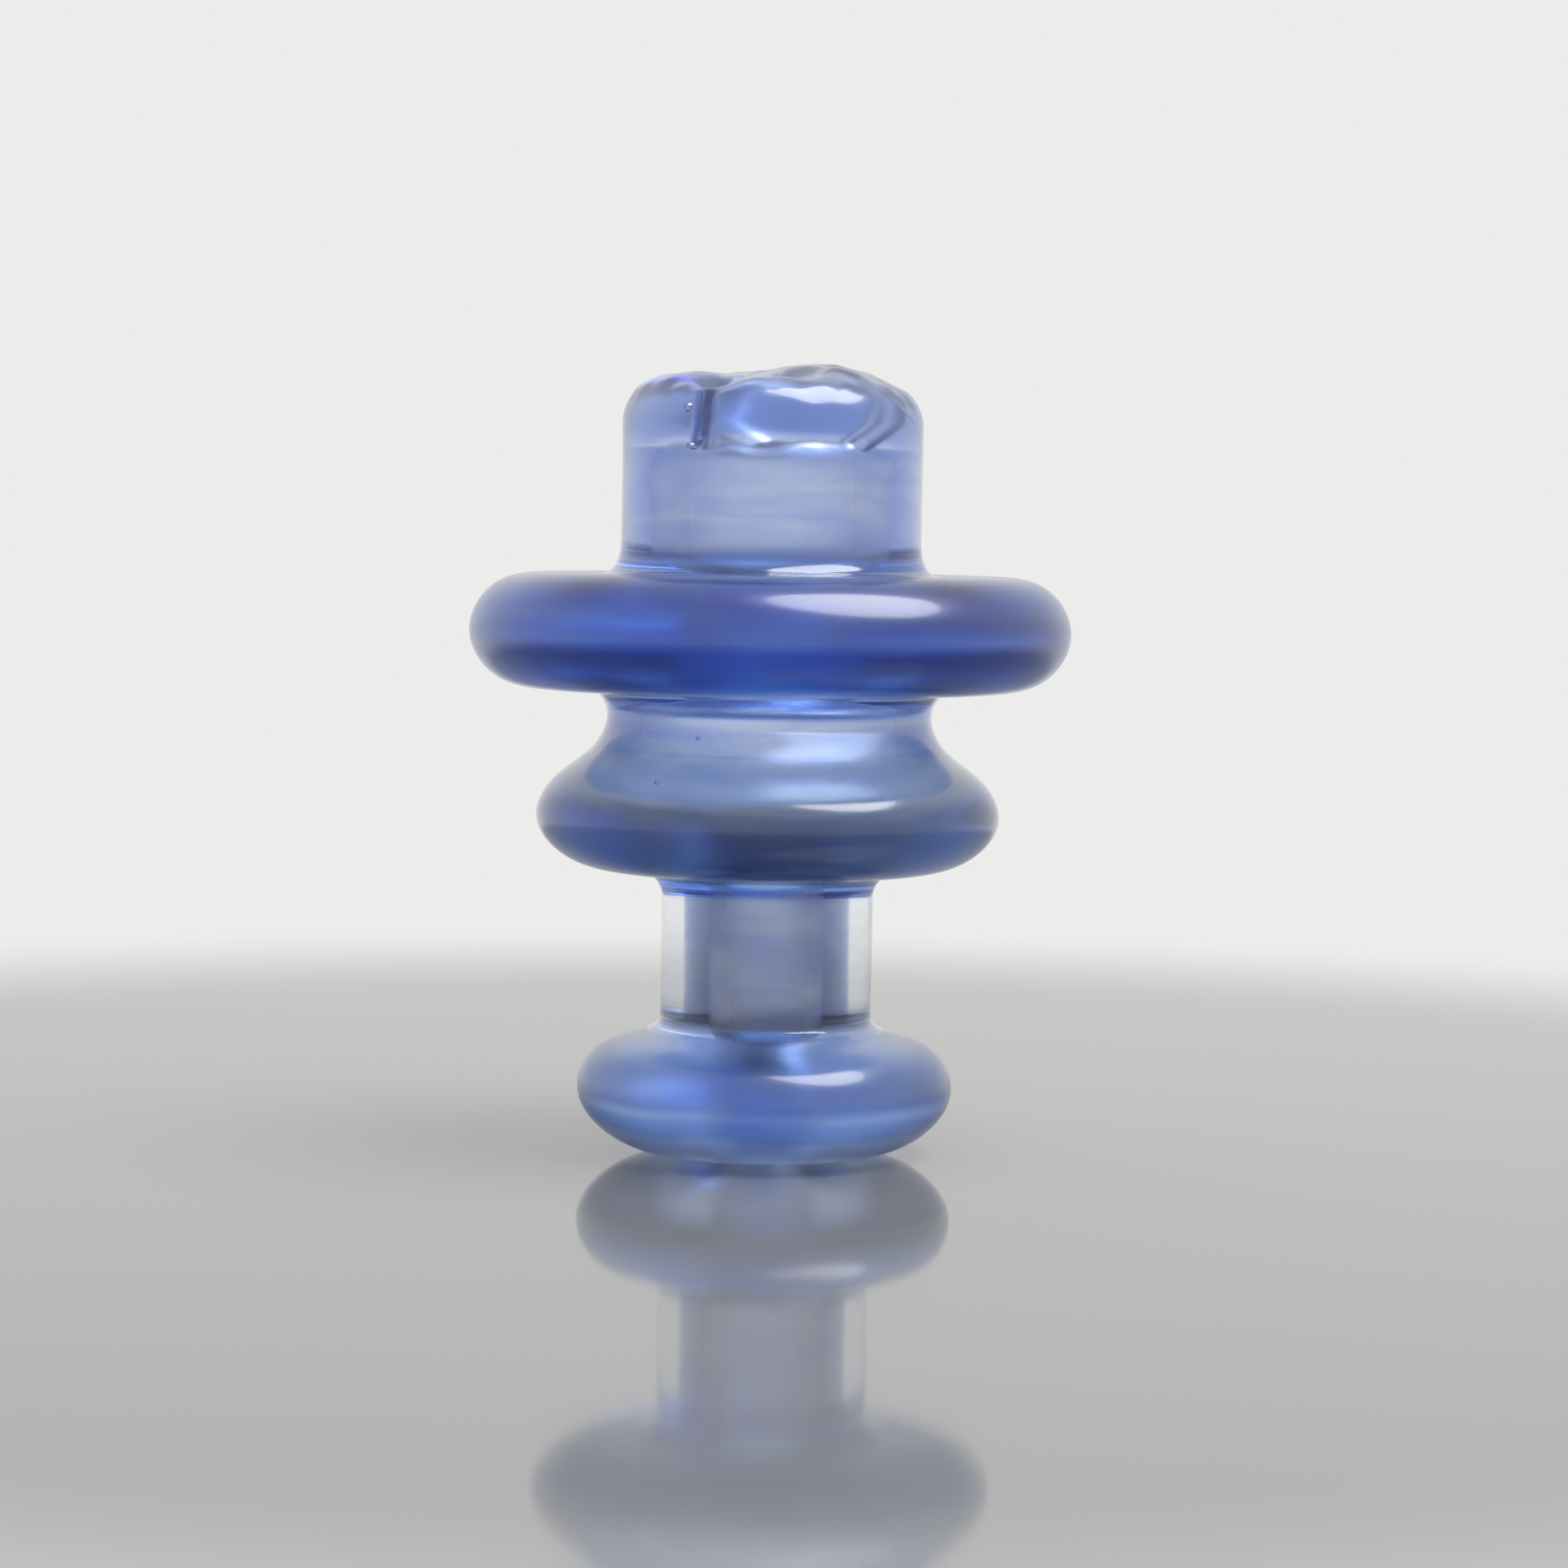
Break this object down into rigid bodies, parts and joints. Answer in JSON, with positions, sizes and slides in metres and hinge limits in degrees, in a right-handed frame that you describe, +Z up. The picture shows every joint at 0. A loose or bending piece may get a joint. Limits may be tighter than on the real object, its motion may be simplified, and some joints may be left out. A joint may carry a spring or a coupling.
{
  "type": "glass spinner cap",
  "caption": "Flame-worked blue glass spinner air cap: jet cup, wide flange disc, waisted collar, clear-cased hollow stem and round knob with the air inlet.",
  "frame": {"origin": "centre of the small ring under the knob that the cap stands on, on the cap's axis", "axes": "+Z up along the air way, from the knob to the jet end"},
  "size_m": [0.03, 0.03, 0.0394],
  "materials": {
    "clear_glass": "fire-polished clear glass",
    "blue_glass": "transparent cobalt-blue glass"
  },
  "bodies": {
    "root": {"knob_casing": "clear_glass", "knob_core": "blue_glass", "stem_casing": "clear_glass", "stem_lining": "blue_glass", "collar_casing": "clear_glass", "collar_core": "blue_glass", "waist_casing": "clear_glass", "waist_lining": "blue_glass", "flange_casing": "clear_glass", "flange_core": "blue_glass", "cup_casing": "clear_glass", "cup_lining": "blue_glass", "jet_end_casing": "clear_glass", "jet_end_core": "blue_glass"}
  },
  "joints": []
}
